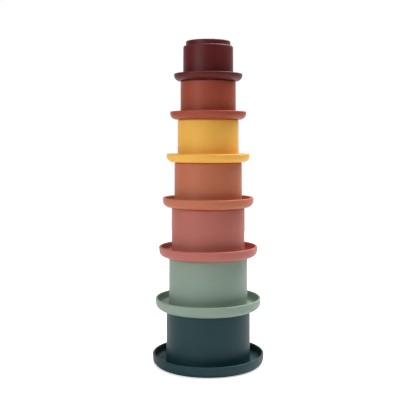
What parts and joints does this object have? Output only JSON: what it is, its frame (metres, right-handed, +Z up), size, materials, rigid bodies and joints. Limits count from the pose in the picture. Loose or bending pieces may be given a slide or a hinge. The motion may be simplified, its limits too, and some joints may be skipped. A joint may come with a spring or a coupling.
{
  "type": "stacking ring toy",
  "caption": "Tower of hat-shaped plastic stacking rings, widest at the bottom, each resting brim-down on the collared shoulder of the ring below.",
  "frame": {"origin": "centre of the lowest ring's foot, on the surface that the tower stands on", "axes": "+Z up along the common axis of all the rings; the rings are round, so X and Y have no feature to name"},
  "size_m": [0.122, 0.122, 0.3481],
  "materials": {
    "slate_plastic": "matte, fine moulded texture",
    "sage_plastic": "matte, fine moulded texture",
    "rose_plastic": "matte, fine moulded texture",
    "clay_plastic": "matte, fine moulded texture",
    "mustard_plastic": "matte, fine moulded texture",
    "rust_plastic": "matte, fine moulded texture",
    "burgundy_plastic": "matte, fine moulded texture"
  },
  "bodies": {
    "slate": {"ring_1_slate": "slate_plastic"},
    "sage": {"ring_2_sage": "sage_plastic"},
    "rose": {"ring_3_rose": "rose_plastic"},
    "clay": {"ring_4_clay": "clay_plastic"},
    "mustard": {"ring_5_mustard": "mustard_plastic"},
    "rust": {"ring_6_rust": "rust_plastic"},
    "burgundy": {"ring_7_burgundy": "burgundy_plastic"}
  },
  "joints": [
    {"name": "lift_sage", "type": "slide", "parent": "slate", "child": "sage", "axis": [0, 0, 1], "range_m": [0, 0.05]},
    {"name": "lift_rose", "type": "slide", "parent": "sage", "child": "rose", "axis": [0, 0, 1], "range_m": [0, 0.05]},
    {"name": "lift_clay", "type": "slide", "parent": "rose", "child": "clay", "axis": [0, 0, 1], "range_m": [0, 0.05]},
    {"name": "lift_mustard", "type": "slide", "parent": "clay", "child": "mustard", "axis": [0, 0, 1], "range_m": [0, 0.05]},
    {"name": "lift_rust", "type": "slide", "parent": "mustard", "child": "rust", "axis": [0, 0, 1], "range_m": [0, 0.05]},
    {"name": "lift_burgundy", "type": "slide", "parent": "rust", "child": "burgundy", "axis": [0, 0, 1], "range_m": [0, 0.05]}
  ]
}
